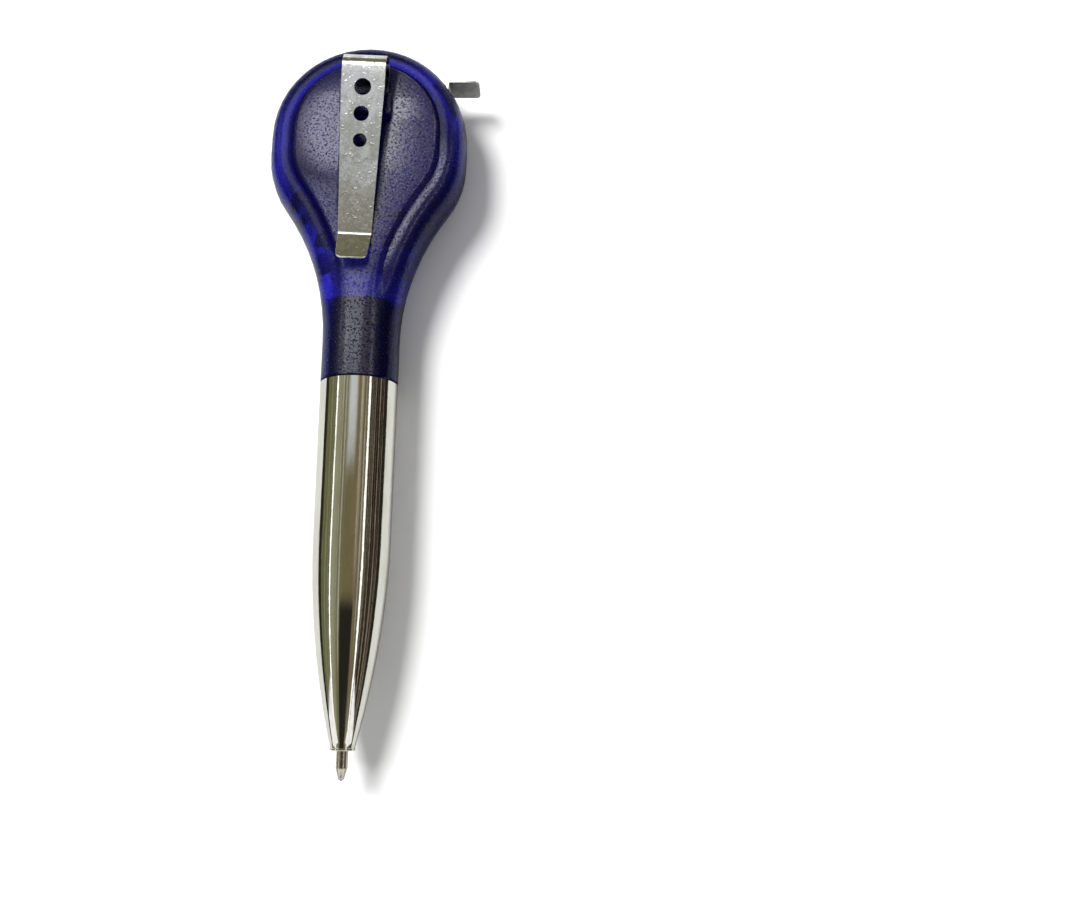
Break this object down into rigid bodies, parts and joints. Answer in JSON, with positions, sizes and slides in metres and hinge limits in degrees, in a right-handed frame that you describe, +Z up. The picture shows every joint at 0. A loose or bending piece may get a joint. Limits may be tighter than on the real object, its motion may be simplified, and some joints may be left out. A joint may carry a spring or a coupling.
{
  "type": "tape measure pen",
  "caption": "Twist-action ball pen with a flat round head that holds a spring-wound pull-out tape measure, a folded steel pocket clip and a plated tapering barrel.",
  "frame": {"origin": "on the flat front panel that the pen rests on, under the axis of the tape reel", "axes": "+Y along the pen from the writing point to the head, +Z up from the resting panel to the clip, +X to the side that the tape hook stands out on"},
  "size_m": [0.0402, 0.1398, 0.021],
  "materials": {
    "shell_plastic": "frosted translucent blue, fine moulded grain",
    "plated_steel": "bright plated sheet steel",
    "barrel_chrome": "mirror plated",
    "nickel_silver": "turned, satin",
    "ball_carbide": "polished",
    "spring_steel": "bright",
    "blade_enamel": "enamel with black ruling",
    "black_nylon": "matt",
    "white_acetal": "satin",
    "clear_tube": "clear",
    "seal_rubber": "matt"
  },
  "bodies": {
    "case": {"back_shell": "shell_plastic", "front_shell": "shell_plastic", "reel_arbor": "nickel_silver", "power_spring": "spring_steel", "cam_spindle": "white_acetal"},
    "clip": {"clip": "plated_steel"},
    "reel": {"reel_drum": "black_nylon", "reel_cover": "black_nylon", "tape_roll": "blade_enamel"},
    "blade": {"tape_lead": "blade_enamel", "end_hook": "plated_steel", "hook_rivet_1": "nickel_silver", "hook_rivet_2": "nickel_silver"},
    "barrel": {"barrel": "barrel_chrome", "guide_sleeve": "nickel_silver", "friction_ring": "seal_rubber", "return_spring": "spring_steel"},
    "refill": {"cam_follower": "black_nylon", "refill_tube": "clear_tube", "refill_plug": "white_acetal", "refill_nose": "nickel_silver"},
    "ball": {"nib_ball": "ball_carbide"}
  },
  "joints": [
    {"name": "tape_pull", "type": "slide", "parent": "case", "child": "blade", "axis": [0, 1, 0], "range_m": [0, 1], "stiffness_N_per_m": 0.6, "springref_m": -1.5, "deforming": ["tape_lead"]},
    {"name": "reel_spin", "type": "hinge", "parent": "case", "child": "reel", "pos_m": [0, 0, 0.0075], "axis": [0, 0, 1], "range_deg": [0, 4190], "deforming": ["power_spring"]},
    {"name": "barrel_twist", "type": "hinge", "parent": "case", "child": "barrel", "pos_m": [0, -0.0486, 0.0075], "axis": [0, 1, 0], "range_deg": [0, 180]},
    {"name": "refill_slide", "type": "slide", "parent": "barrel", "child": "refill", "axis": [0, 1, 0], "range_m": [0, 0.0055], "deforming": ["return_spring"]},
    {"name": "clip_flex", "type": "hinge", "parent": "case", "child": "clip", "pos_m": [0.00019, 0.01, 0.01815], "axis": [-0.9994, 0.0349, 0], "range_deg": [0, 4], "stiffness_Nm_per_rad": 0.6, "springref_deg": -1.15},
    {"name": "ball_roll", "type": "hinge", "parent": "refill", "child": "ball", "pos_m": [0, -0.1204, 0.0075], "axis": [1, 0, 0], "continuous": true}
  ],
  "couplings": [
    {"joint": "reel_spin", "follows": "tape_pull", "rad_per_m": 73},
    {"joint": "barrel_twist", "follows": "refill_slide", "rad_per_m": 571.19}
  ]
}
